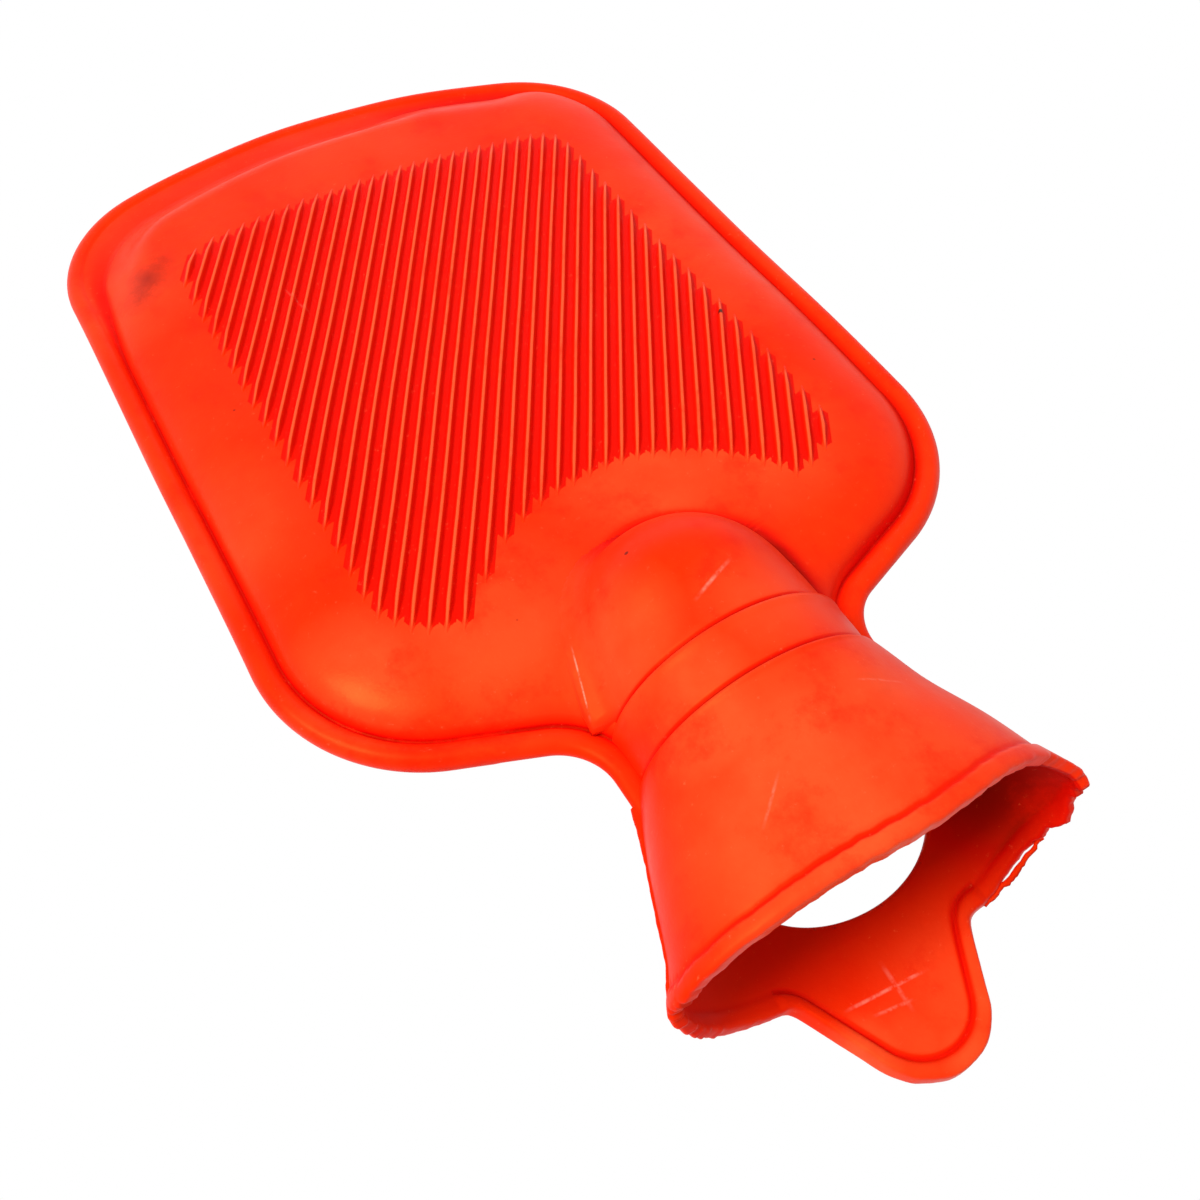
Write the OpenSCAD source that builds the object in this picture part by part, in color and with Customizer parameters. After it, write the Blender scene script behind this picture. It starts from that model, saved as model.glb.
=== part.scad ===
// Rubber hot water bottle, lying on its back with the ribbed face up and the mouth toward -Y.
// The shapes are drawn about the seam plane and the neck's axis, and laid on the floor at the end.

/* [Body] */
// Width across the rim
body_w = 156; // [140:1:180]
// Length from the far end to the first step of the neck
body_len = 211; // [195:1:240]
// Radius of the far end's curve
end_r = 151; // [125:1:300]
// Radius of the two far corners
corner_r = 37; // [32:1:44]
// Radius of the two shoulders
shoulder_r = 39; // [33:1:44]
// Slope of the shoulders down to the neck, in degrees
shoulder_slope = 21; // [14:1:28]
// Distance from the neck's first step back to the centres of the shoulder curves
shoulder_back = 45.5; // [42:0.5:52]
// Radius where the shoulders run into the neck
neck_fillet_r = 12; // [9:1:16]
// Height of the flat panel above the seam plane, the same on both sides
panel_h = 7.5; // [6:0.5:12]
// Width of the rounded flank between the rim and the flat panel
flank_w = 18; // [14:0.5:20]
// Thickness of the rubber
wall = 2.4; // [1.8:0.1:3]

/* [Rim] */
// Diameter of the round bead that runs along the seam
rim_d = 5; // [4:0.5:6]
// Thickness of the seam between the bead and the flank
seam_t = 1.9; // [1.2:0.1:3]
// Width of the groove between the bead and the flank
groove_w = 0.9; // [0.5:0.1:2]

/* [Ribs] */
// Distance from one rib to the next
rib_pitch = 3.31; // [2.8:0.05:5]
// Sideways shift of the whole row of ribs
rib_shift = 1; // [0:0.1:3.3]
// Angle between the ribs and the bottle's length, in degrees
rib_angle = 30.2; // [20:0.2:40]
// Height of a rib above the panel
rib_h = 1.4; // [0.8:0.1:2]
// Width of a rib at its foot
rib_foot = 2.3; // [1.5:0.1:2.6]
// Width of a rib's crest
rib_crest = 0.7; // [0.4:0.1:1.2]
// Length over which each end of a rib runs out to a point
rib_run = 7; // [3:0.5:10]
// Distance of the ribs from the rim's outer edge at the sides
rib_side = 24.5; // [23:0.5:32]
// Distance of the ribs from the far end
rib_end = 41; // [32:0.5:50]
// Radius of the bare half circle that the ribs leave around the neck
rib_neck_r = 42.5; // [36:0.5:50]

/* [Neck] */
// Outer radius of the neck's dome, where it runs into the body
dome_r = 22.8; // [21.5:0.1:24]
// Distance from the neck's first step back to the centre of the dome
dome_back = 13; // [10:0.5:16]
// Height of each of the two steps of the neck
step_h = 1; // [0.6:0.1:1.4]
// Length between the two steps
collar_len = 11.5; // [9:0.5:14]
// Distance of the rim's outer edge from the neck's axis, beside the neck
neck_rim_x = 29.3; // [28:0.1:31]
// Length of the rim along the neck
neck_rim_len = 7; // [5:0.5:10]

/* [Funnel] */
// Length of the funnel from the second step to the mouth
funnel_len = 37; // [32:1:42]
// Width across the mouth
mouth_w = 84; // [76:1:88]
// Height of the mouth
mouth_h = 43; // [38:1:48]
// How far the funnel swells ahead of a straight taper
funnel_swell = 1.45; // [1.1:0.05:1.8]
// Squareness of the mouth's oval, where 2 is a plain ellipse
mouth_square = 2.5; // [2:0.1:3]
// How far the back lip reaches past the front lip
back_lip = 5.7; // [2:0.1:8]
// Width of the raised band along the front lip
lip_w = 3.6; // [2.5:0.1:5]
// Height of the raised band along the front lip
lip_h = 0.6; // [0.3:0.1:1]

/* [Tab] */
// Length of the tab past the back lip
tab_len = 22.3; // [18:0.5:28]
// Width of the tab at its root
tab_w = 39; // [34:0.5:44]
// Radius of the tab's round tip
tab_tip_r = 12.3; // [10:0.1:14]
// Radius of the curves beside the tab's root
tab_root_r = 4; // [2:0.5:6]
// Width of the raised border along the tab
border_w = 3.2; // [2:0.1:4]
// Height of the raised border
border_h = 0.9; // [0.4:0.1:1.4]

/* [Hanging hole] */
// Width of the oval hole through the funnel's back wall
hole_w = 40; // [32:1:44]
// Length of the oval hole along the bottle
hole_len = 29; // [22:1:30]
// Distance of the hole's edge from the back lip
hole_lip = 8; // [7:0.5:10]

/* [Neck bush and stopper] */
// Inner radius of the threaded bush, at the thread's root
bush_r = 13.2; // [12:0.1:14]
// Wall of the bush
bush_t = 2.8; // [2:0.1:3.5]
// Length of the bush below its flange
bush_len = 24; // [21:0.5:26]
// Width of the bush's flange beyond its wall
bush_lip = 2.5; // [1.5:0.1:3]
// Thickness of the bush's flange and of its holding ring
flange_t = 2; // [1.5:0.1:2.5]
// Running gap between the stopper's thread and the bush
thread_gap = 0.3; // [0.2:0.05:0.5]
// Thickness of the rubber washer under the stopper's head
washer_t = 2; // [1.5:0.1:3]
// Thickness of the stopper's round head
head_t = 3; // [2:0.1:4]
// Length of the stopper's thread
stopper_len = 20; // [15:0.5:21]
// Wall of the stopper's hollow thread
stopper_wall = 3; // [2:0.1:4]
// Length of the stopper's grip
grip_len = 15; // [10:0.5:17]
// Width of the stopper's grip
grip_w = 24; // [18:0.5:26]
// Thickness of the stopper's grip
grip_t = 5; // [3.5:0.1:6]
// Gap between parts that lie face to face
seat_gap = 0.05; // [0.02:0.01:0.1]

/* [Hidden] */
$fn = 64;

rubber = "orangered";
brass = "goldenrod";
seal_black = "dimgray";
stopper_ivory = "ivory";

// Places along the bottle, from the far end to the tip of the tab
total_len = body_len + collar_len + funnel_len + back_lip + tab_len;
far_y = total_len / 2;
step1_y = far_y - body_len;
step2_y = step1_y - collar_len;
mouth_y = step2_y - funnel_len;
back_y = mouth_y - back_lip;
tip_y = back_y - tab_len;
dome_y = step1_y + dome_back;

// Outline of the rim: arcs about the centres below, joined by straight lines
far_c = [0, far_y - end_r];
corner_x = body_w / 2 - corner_r;
corner_c = [corner_x, far_c.y + sqrt(pow(end_r - corner_r, 2) - pow(corner_x, 2))];
corner_a = atan2(corner_c.y - far_c.y, corner_x);
shoulder_c = [body_w / 2 - shoulder_r, step1_y + shoulder_back];
slope_a = shoulder_slope - 90;
slope_n = [cos(slope_a), sin(slope_a)];
slope_d = [sin(slope_a), -cos(slope_a)];
slope_start = shoulder_c + shoulder_r * slope_n;
slope_len = (neck_rim_x + neck_fillet_r - slope_start.x - neck_fillet_r * slope_n.x) / slope_d.x;
slope_end = slope_start + slope_len * slope_d;
fillet_c = slope_end + neck_fillet_r * slope_n;

// Section across the flank, from the seam up: distance in from the rim's edge, and height
rim_r = rim_d / 2;
flank_s = rim_d + groove_w;
flat_s = flank_s + flank_w;
pillow_section = [for (a = [0 : 15 : 90])
    [flank_s + flank_w * (1 - cos(a)), panel_h * sin(a)]];
cavity_s = flank_s + wall;
cavity_section = [for (a = [0 : 22.5 : 90])
    [cavity_s + (flat_s - cavity_s) * (1 - cos(a)), (panel_h - wall) * sin(a)]];

// Neck: radii of its two steps and places of the bush and the stopper
collar_r = dome_r + step_h;
funnel_r = collar_r + step_h;
deck_y = step2_y - 3 * step_h;
bush_out_r = bush_r + bush_t;
flange_r = bush_out_r + bush_lip;
ring_y = deck_y + bush_len - flange_t;
cavity_end_y = ring_y - seat_gap;
bush_face_y = deck_y - seat_gap - flange_t;
bush_total = bush_len + seat_gap + flange_t;
washer_y = bush_face_y - seat_gap - washer_t;
head_y = washer_y - seat_gap - head_t;
shank_r = bush_r - thread_gap;
washer_in_r = shank_r + thread_gap;
head_r = flange_r - step_h;

// The bottle lies on its back on the neck and on the far end of the body
rest_y = far_y - flat_s;
function far_drop(tilt) = norm([flank_w * sin(tilt), panel_h * cos(tilt)]);
function tilt_on(y, r) = let (run = rest_y - y) asin((r - far_drop(asin((r - panel_h) / run))) / run);
rest_tilt = max(tilt_on(dome_y, dome_r), tilt_on(step2_y, funnel_r));
rest_h = rest_y * sin(rest_tilt) + far_drop(rest_tilt);
tab_z = mouth_h / 2;
rest_shift = tab_z * sin(rest_tilt) / 2;

big = total_len;

// Lays the bottle down from the seam frame to the floor
module lay() {
    translate([0, rest_shift, rest_h])
        rotate([-rest_tilt, 0, 0])
            children();
}

// Both sides of the bottle from its right side
module both() {
    children();
    mirror([1, 0, 0]) children();
}

// Turns a shape made about Z to lie along the neck, with its height toward the far end
module along_neck(y) {
    translate([0, y, 0]) rotate([-90, 0, 0]) children();
}

// A solid skinned over a row of rings that hold as many points each. lid lists the faces of an end.
module skin(rings, lid) {
    n = len(rings[0]);
    last = len(rings) - 1;
    sides = [for (k = [0 : last - 1], i = [0 : n - 1]) let (j = (i + 1) % n)
        each [[k * n + i, (k + 1) * n + i, k * n + j], [k * n + j, (k + 1) * n + i, (k + 1) * n + j]]];
    ends = [for (face = lid) each [face, [for (i = [len(face) - 1 : -1 : 0]) last * n + face[i]]]];
    polyhedron(points = [for (ring = rings) each ring], faces = concat(sides, ends));
}
function plain_lid(n) = [[for (i = [0 : n - 1]) i]];

// Lid of a ring that is its own mirror image: rungs from each point to its twin
function rung_lid(n) = [for (i = [0 : ceil(n / 2) - 2])
    i + 1 < n - 2 - i ? [i, i + 1, n - 2 - i, n - 1 - i] : [i, i + 1, n - 1 - i]];

function arc_points(c, r, from_a, to_a, n) =
    [for (i = [0 : n]) let (a = from_a + (to_a - from_a) * i / n) c + r * [cos(a), sin(a)]];
function flip(points) = [for (i = [len(points) - 1 : -1 : 0]) [-points[i].x, points[i].y]];

// The rim's outline moved in by a distance, counter-clockwise
function right_outline(s) = concat(
    arc_points(fillet_c, neck_fillet_r + s, 180, 180 + slope_a, 4),
    arc_points(shoulder_c, shoulder_r - s, slope_a, 0, 7),
    arc_points(corner_c, corner_r - s, 0, corner_a, 8)
);
function far_outline(s) = arc_points(far_c, end_r - s, corner_a, 180 - corner_a, 8);
function inset_outline(s) = let (right = right_outline(s), far = far_outline(s)) concat(
    right,
    [for (i = [1 : len(far) - 2]) far[i]],
    flip(right)
);

// The section swept round the rim's outline, the same above and below the seam
module pillow(section) {
    rows = concat([for (i = [len(section) - 1 : -1 : 1]) [section[i].x, -section[i].y]], section);
    skin(
        [for (row = rows) [for (p = inset_outline(row.x)) [p.x, p.y, row.y]]],
        rung_lid(len(inset_outline(0)))
    );
}

// Field of the ribs: a convex outline, less the half circle around the neck
rib_corner_r = 8;
rib_top_r = 1.6 * end_r;
rib_top_y = far_y - rib_end;
rib_x = body_w / 2 - rib_side;
rib_top_c = [0, rib_top_y - rib_top_r];
rib_corner_x = rib_x - rib_corner_r;
rib_corner_c = [rib_corner_x, rib_top_c.y + sqrt(pow(rib_top_r - rib_corner_r, 2) - pow(rib_corner_x, 2))];
rib_corner_a = atan2(rib_corner_c.y - rib_top_c.y, rib_corner_x);
rib_right = concat(
    [slope_end - rib_side * slope_n],
    arc_points(shoulder_c, shoulder_r - rib_side, slope_a, 0, 8),
    arc_points(rib_corner_c, rib_corner_r, 0, rib_corner_a, 6)
);
rib_field = concat(rib_right, arc_points(rib_top_c, rib_top_r, rib_corner_a, 180 - rib_corner_a, 8), flip(rib_right));
rib_neck_c = [0, dome_y - 4];

rib_d = [sin(rib_angle), cos(rib_angle)];
rib_n = [cos(rib_angle), -sin(rib_angle)];

// Where a line through o along d enters and leaves the field
function edge_cut(i, o, d) = let (
    a = rib_field[i],
    e = rib_field[(i + 1) % len(rib_field)] - a,
    away = cross(e, o - a),
    rate = cross(e, d)
) [rate, -away / rate];
function field_cuts(o, d) = [for (i = [0 : len(rib_field) - 1]) edge_cut(i, o, d)];
function enter(cuts) = max([for (c = cuts) if (c[0] > 0) c[1]]);
function leave(cuts) = min([for (c = cuts) if (c[0] < 0) c[1]]);

// Where the same line leaves the half circle around the neck
function neck_leave(o, d) = let (
    m = (rib_neck_c - o) * d,
    miss = norm(o + m * d - rib_neck_c)
) miss < rib_neck_r ? m + sqrt(pow(rib_neck_r, 2) - pow(miss, 2)) : -big;

// One rib, a low roof with pointed ends, along its own X
module rib(from, to) {
    sunk = rib_h / 4;
    half_f = rib_foot / 2;
    half_c = rib_crest / 2;
    in_a = from + rib_run;
    in_b = to - rib_run;
    low = panel_h - sunk;
    high = panel_h + rib_h;
    polyhedron(
        points = [
            [from, 0, low], [in_a, -half_f, low], [in_b, -half_f, low],
            [to, 0, low], [in_b, half_f, low], [in_a, half_f, low],
            [in_a, -half_c, high], [in_b, -half_c, high], [in_b, half_c, high], [in_a, half_c, high]
        ],
        faces = [
            [0, 1, 2, 3, 4, 5], [9, 8, 7, 6],
            [1, 6, 7, 2], [4, 8, 9, 5],
            [0, 6, 1], [0, 9, 6], [0, 5, 9],
            [3, 2, 7], [3, 7, 8], [3, 8, 4]
        ]
    );
}

module ribs() {
    side = ceil(body_len / rib_pitch);
    for (i = [-side : side]) {
        o = (i * rib_pitch + rib_shift) * rib_n;
        cuts = field_cuts(o, rib_d);
        from = max(enter(cuts), neck_leave(o, rib_d));
        to = leave(cuts);
        if (to - from > 2.5 * rib_run)
            translate([o.x, o.y, 0]) rotate([0, 0, 90 - rib_angle]) rib(from, to);
    }
}

// Neck: a dome inside the shoulders, then two steps up to the funnel
module dome(r, from_y) {
    translate([0, dome_y, 0]) sphere(r);
    along_neck(from_y) cylinder(r = r, h = dome_y - from_y);
}

module neck() {
    dome(dome_r, deck_y);
    along_neck(deck_y) cylinder(r = collar_r, h = step1_y - deck_y);
}

module neck_cavity() {
    dome(dome_r - wall, cavity_end_y);
}

module neck_bore() {
    along_neck(deck_y - wall) cylinder(r = bush_out_r + seat_gap, h = bush_len + 2 * wall);
}

// The rim: a thin seam that carries a round bead, both run on beside the neck to the funnel
rim_end_y = fillet_c.y - neck_rim_len;
function rim_outline(s) = concat(
    [[neck_rim_x - s, rim_end_y]],
    inset_outline(s),
    [[s - neck_rim_x, rim_end_y]]
);
bead_sides = 10;

module rim() {
    linear_extrude(seam_t, center = true)
        polygon(rim_outline(rim_r));
    tracks = [for (i = [0 : bead_sides - 1]) let (a = 360 * i / bead_sides)
        [for (p = rim_outline(rim_r + rim_r * cos(a))) [p.x, p.y, rim_r * sin(a)]]];
    skin([for (i = [0 : len(tracks[0]) - 1]) [for (track = tracks) track[i]]], plain_lid(bead_sides));
}

// The funnel's ovals: u runs from 0 at the second step to 1 at the mouth and on into the tab
function swell(u) = 1 - pow(1 - min(u, 1), funnel_swell);
function oval_x(u) = funnel_r + (mouth_w / 2 - funnel_r) * swell(u);
function oval_z(u) = funnel_r + (mouth_h / 2 - funnel_r) * min(u, 1);
function oval_n(u) = 2 + (mouth_square - 2) * min(u, 1);
function round_pow(v, p) = sign(v) * pow(abs(v), p);
function oval(u, grow) = [for (i = [0 : oval_sides - 1]) let (a = 360 * i / oval_sides) [
    (oval_x(u) + grow) * round_pow(cos(a), 2 / oval_n(u)),
    step2_y - u * funnel_len,
    (oval_z(u) + grow) * round_pow(sin(a), 2 / oval_n(u))
]];
oval_sides = 48;
tip_u = 1 + (back_lip + tab_len + wall) / funnel_len;

// A solid through a row of ovals, given as [u, grow]
module loft(rows) {
    skin([for (row = rows) oval(row[0], row[1])], plain_lid(oval_sides));
}

function funnel_rows(from_u, grow) =
    concat([for (i = [0 : 7]) [from_u + (1 - from_u) * i / 7, grow]], [[tip_u, grow]]);
deck_u = (step2_y - deck_y) / funnel_len;

// A solid that holds the funnel's front wall to the mouth, and its back wall to the tab
module funnel_reach() {
    translate([-big / 2, mouth_y, 0])
        cube([big, funnel_len + step_h, big / 4]);
    translate([0, 0, -big / 4])
        linear_extrude(big / 4)
            back_outline();
}

// Back wall seen from above: a curved lip, with the tab rooted on it
lip_half = mouth_w / 2 + wall;
tab_c = [0, tip_y + tab_tip_r];
tab_root = [tab_w / 2, mouth_y - back_lip / 2];
tab_side_a = atan2(tab_root.y - tab_c.y, tab_root.x) - acos(tab_tip_r / norm(tab_root - tab_c));
module back_outline() {
    offset(r = -tab_root_r) offset(delta = tab_root_r) {
        polygon(concat(
            [for (a = [0 : 7.5 : 180]) [lip_half * cos(a), mouth_y - back_lip * sin(a)]],
            [[-lip_half, step2_y + step_h], [lip_half, step2_y + step_h]]
        ));
        polygon(concat(
            arc_points(tab_c, tab_tip_r, tab_side_a, -180 - tab_side_a, 20),
            [[-tab_root.x, tab_root.y], tab_root]
        ));
    }
}

module funnel() {
    band_u = 1 - lip_w / funnel_len;
    intersection() {
        union() {
            loft(funnel_rows(0, 0));
            intersection() {
                loft([[band_u - lip_h / funnel_len, 0], [band_u, lip_h], [1 + lip_h / funnel_len, lip_h]]);
                translate([-big / 2, -big, 0]) cube([big, 2 * big, big]);
            }
        }
        funnel_reach();
    }
}

// Raised border along the edge of the tab and the back lip, on the inner face
module tab_border() {
    intersection() {
        difference() {
            loft([[0.8, -wall / 2], [1, -wall / 2], [tip_u, -wall / 2]]);
            loft([[0.7, -wall - border_h], [1, -wall - border_h], [tip_u + 0.1, -wall - border_h]]);
        }
        translate([0, 0, -mouth_h])
            linear_extrude(0.75 * mouth_h)
                difference() {
                    back_outline();
                    offset(delta = -border_w) back_outline();
                    translate([-big / 2, mouth_y]) square([big, big]);
                }
    }
}

// Oval hole through the funnel's back wall, to hang the bottle by
hole_y = back_y + hole_lip + hole_len / 2;
module hanging_hole() {
    translate([0, hole_y, -mouth_h])
        linear_extrude(mouth_h)
            scale([hole_w / hole_len, 1])
                circle(hole_len / 2);
}

// Room for the water, closed off where the neck holds the bush
module cavity() {
    difference() {
        pillow(cavity_section);
        translate([-big / 2, cavity_end_y - big, -big / 2]) cube(big);
    }
}

module bottle() {
    difference() {
        union() {
            union() {
                pillow(pillow_section);
                ribs();
            }
            neck();
            rim();
            funnel();
        }
        cavity();
        neck_cavity();
        neck_bore();
        loft(funnel_rows(deck_u, -wall));
        hanging_hole();
    }
    tab_border();
}

// Threaded bush bonded into the neck, held between its flange and its ring
module neck_bush() {
    difference() {
        union() {
            along_neck(bush_face_y) cylinder(r = flange_r, h = flange_t);
            along_neck(bush_face_y) cylinder(r = bush_out_r, h = bush_total);
            along_neck(ring_y) cylinder(r = bush_out_r + bush_lip / 2, h = flange_t);
        }
        along_neck(bush_face_y - flange_t) cylinder(r = bush_r, h = bush_total + 2 * flange_t);
    }
}

module washer() {
    along_neck(washer_y)
        difference() {
            cylinder(r = head_r, h = washer_t);
            translate([0, 0, -washer_t]) cylinder(r = washer_in_r, h = 3 * washer_t);
        }
}

// Outline of the grip: a tongue with round outer corners, run up into the middle of the head
grip_corner_r = grip_w / 4;
module grip_outline(inset) {
    half = grip_w / 2 - inset;
    r = grip_corner_r - inset;
    end_y = head_y - grip_len + inset;
    translate([-half, end_y + r]) square([2 * half, head_y + head_t / 2 - end_y - r]);
    translate([r - half, end_y]) square([2 * (half - r), 2 * r]);
    both() translate([half - r, end_y + r]) circle(r);
}

module stopper() {
    dish = grip_t / 6;
    border = grip_t / 2;
    difference() {
        union() {
            along_neck(head_y) cylinder(r = head_r, h = head_t);
            along_neck(head_y) cylinder(r = shank_r, h = head_t + washer_t + stopper_len);
            linear_extrude(grip_t, center = true) grip_outline(0);
        }
        along_neck(head_y + head_t + washer_t)
            cylinder(r = shank_r - stopper_wall, h = 2 * stopper_len);
        for (side = [-1, 1])
            translate([0, -border, side * grip_t / 2])
                linear_extrude(2 * dish, center = true)
                    intersection() {
                        translate([0, border]) grip_outline(border);
                        translate([-grip_w, head_y - grip_len]) square([2 * grip_w, grip_len]);
                    }
    }
}

lay() color(rubber) bottle();
lay() color(brass) neck_bush();
lay() color(seal_black) washer();
lay() color(stopper_ivory) stopper();
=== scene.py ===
import bpy, math
import numpy as np
from mathutils import Matrix, Vector


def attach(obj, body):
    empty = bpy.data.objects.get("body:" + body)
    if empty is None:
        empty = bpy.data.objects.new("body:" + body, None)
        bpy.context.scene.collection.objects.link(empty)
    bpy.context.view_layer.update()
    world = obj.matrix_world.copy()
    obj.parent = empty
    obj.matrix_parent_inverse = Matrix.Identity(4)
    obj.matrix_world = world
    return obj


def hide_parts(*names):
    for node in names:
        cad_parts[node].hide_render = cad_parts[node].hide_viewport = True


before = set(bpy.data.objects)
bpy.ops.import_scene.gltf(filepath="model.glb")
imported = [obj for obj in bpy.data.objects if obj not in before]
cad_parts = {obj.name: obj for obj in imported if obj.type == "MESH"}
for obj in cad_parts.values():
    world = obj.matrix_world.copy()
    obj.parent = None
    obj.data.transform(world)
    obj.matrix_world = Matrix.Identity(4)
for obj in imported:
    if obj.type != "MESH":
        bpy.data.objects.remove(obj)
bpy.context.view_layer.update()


# Sizes in millimetres, the same as in the part's source. Shapes are made about the seam plane
# (z = 0) and the neck's axis (the Y axis), then laid on the floor.
BODY_W, END_R, CORNER_R, SHOULDER_R, SLOPE = 156.0, 151.0, 37.0, 39.0, 21.0
FILLET_R, PANEL_H, FLANK_W, WALL = 12.0, 7.5, 18.0, 2.4
RIM_R, GROOVE_W = 2.5, 0.9
FAR_Y, BODY_L, COLLAR_L = 143.75, 211.0, 11.5
FUNNEL_L, MOUTH_W, MOUTH_H = 37.0, 84.0, 43.0
LIP_DROP, TAB_L = 5.7, 22.3
STEP1_Y = FAR_Y - BODY_L
STEP2_Y = STEP1_Y - COLLAR_L
MOUTH_Y = STEP2_Y - FUNNEL_L
BACK_Y = MOUTH_Y - LIP_DROP
TIP_Y = BACK_Y - TAB_L
DOME_Y, DOME_R, STEP_H, NECK_RIM_X = STEP1_Y + 13.0, 22.8, 1.0, 29.3
FUNNEL_R = DOME_R + 2 * STEP_H
DECK_Y = STEP2_Y - 3 * STEP_H
FLANK_S = 2 * RIM_R + GROOVE_W
FLAT_S = FLANK_S + FLANK_W
REST_Y = FAR_Y - FLAT_S


def far_drop(tilt):
    """How far the panel's far edge and flank reach below the seam plane at a tilt."""
    return math.hypot(FLANK_W * math.sin(tilt), PANEL_H * math.cos(tilt))


def tilt_on(y, r):
    """Tilt at which the bottle rests on its far flank and on a round of radius r at y."""
    run = REST_Y - y
    return math.asin((r - far_drop(math.asin((r - PANEL_H) / run))) / run)


TILT = max(tilt_on(DOME_Y, DOME_R), tilt_on(STEP2_Y, FUNNEL_R))
REST_H = REST_Y * math.sin(TILT) + far_drop(TILT)
REST_SHIFT = MOUTH_H / 2 * math.sin(TILT) / 2
LAY = Matrix.Translation((0, REST_SHIFT / 1000, REST_H / 1000)) @ Matrix.Rotation(-TILT, 4, "X")


def lay(points):
    """Seam-frame millimetres to metres on the floor."""
    p = np.asarray(points, float) / 1000
    m = np.array(LAY)
    return p @ m[:3, :3].T + m[:3, 3]


# A slow, fixed waver, so that no face of the moulding is dead flat
RNG = np.random.default_rng(7)
WAVES = [(RNG.normal(size=3), RNG.uniform(0, 6.28), RNG.normal(size=3)) for _ in range(9)]
WAVE_SHORT, WAVE_MORE = 26, 9
WAVE_SIZE = np.array([0.35, 0.35, 1.0])


def waver(p, amount=0.11):
    out = np.zeros_like(p)
    for k, (d, phase, push) in enumerate(WAVES):
        length = WAVE_SHORT + WAVE_MORE * k
        out += np.sin(p @ (d / np.linalg.norm(d)) * 6.283 / length + phase)[..., None] * push
    return p + out * amount * WAVE_SIZE


def rough(x, seed, scale):
    """Ragged one-dimensional noise about 0, from -1 to 1."""
    rng = np.random.default_rng(seed)
    out = np.zeros_like(x)
    for k in range(4):
        table = rng.uniform(-1, 1, 512)
        t = x / scale * 2 ** k
        i = np.floor(t).astype(int)
        f = t - i
        out += (table[i % 512] * (1 - f) + table[(i + 1) % 512] * f) / 1.7 ** k
    return out / 2


def smooth(a, b, x):
    """0 at a, 1 at b, with a soft start and end."""
    t = np.clip((x - a) / (b - a), 0, 1)
    return t * t * (3 - 2 * t)


ABOVE_FLOOR = 1e-5


class Sheets:
    """Collects grids of points into one mesh.

    Each vertex has a painted shading value for its colour: 0 open, 1 painted shade down in a groove, 2 darker
    painted shade far inside, less than 0 a painted highlight on a crest.
    """

    def __init__(self):
        self.points, self.faces, self.deep, self.count = [], [], [], 0

    def grid(self, p, deep=0.0, wrap=False, flip=False, keep=None):
        rows, cols = p.shape[:2]
        index = np.arange(rows * cols).reshape(rows, cols) + self.count
        nxt = np.roll(index, -1, axis=1) if wrap else index[:, 1:]
        here = index if wrap else index[:, :-1]
        quads = np.stack([here[:-1], nxt[:-1], nxt[1:], here[1:]], axis=-1).reshape(-1, 4)
        if keep is not None:
            quads = quads[keep.reshape(-1)]
        self.faces.append(quads[:, ::-1] if flip else quads)
        self.points.append(p.reshape(-1, 3))
        self.deep.append(np.broadcast_to(deep, (rows, cols)).reshape(-1))
        self.count += rows * cols

    def build(self, name, material, weld=0.02, warp=True):
        """Weld the points, drop the faces that fold away, lay the mesh on the floor and link it."""
        p = np.concatenate(self.points)
        quads = np.concatenate(self.faces)
        deep = np.concatenate(self.deep)
        key = np.round(p / weld).astype(np.int64)
        _, first, back = np.unique(key, axis=0, return_index=True, return_inverse=True)
        back = back.reshape(-1)
        p, deep = p[first], deep[first]
        quads = back[quads]
        faces = []
        for q in quads.tolist():
            ring = [v for k, v in enumerate(q) if v != q[k - 1]]
            if len(ring) > 2 and len(set(ring)) == len(ring):
                faces.append(ring)
        used = np.unique(np.concatenate([np.array(f) for f in faces]))
        remap = np.full(len(p), -1)
        remap[used] = np.arange(len(used))
        faces = [[int(remap[v]) for v in f] for f in faces]
        p, deep = p[used], deep[used]
        if warp:
            p = waver(p)
        mesh = bpy.data.meshes.new(name)
        p = lay(p)
        p[:, 2] = np.maximum(p[:, 2], ABOVE_FLOOR)
        mesh.from_pydata([tuple(v) for v in p], [], faces)
        mesh.validate()
        # The painted shade and highlight reach the rubber's colour through this attribute
        attribute = mesh.attributes.new("deep", "FLOAT", "POINT")
        if len(attribute.data) == len(deep):
            attribute.data.foreach_set("value", deep.astype(np.float32))
        mesh.polygons.foreach_set("use_smooth", np.ones(len(mesh.polygons), bool))
        mesh.materials.append(material)
        obj = bpy.data.objects.new(name, mesh)
        bpy.context.scene.collection.objects.link(obj)
        return obj


# Materials ------------------------------------------------------------------------------------

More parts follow.
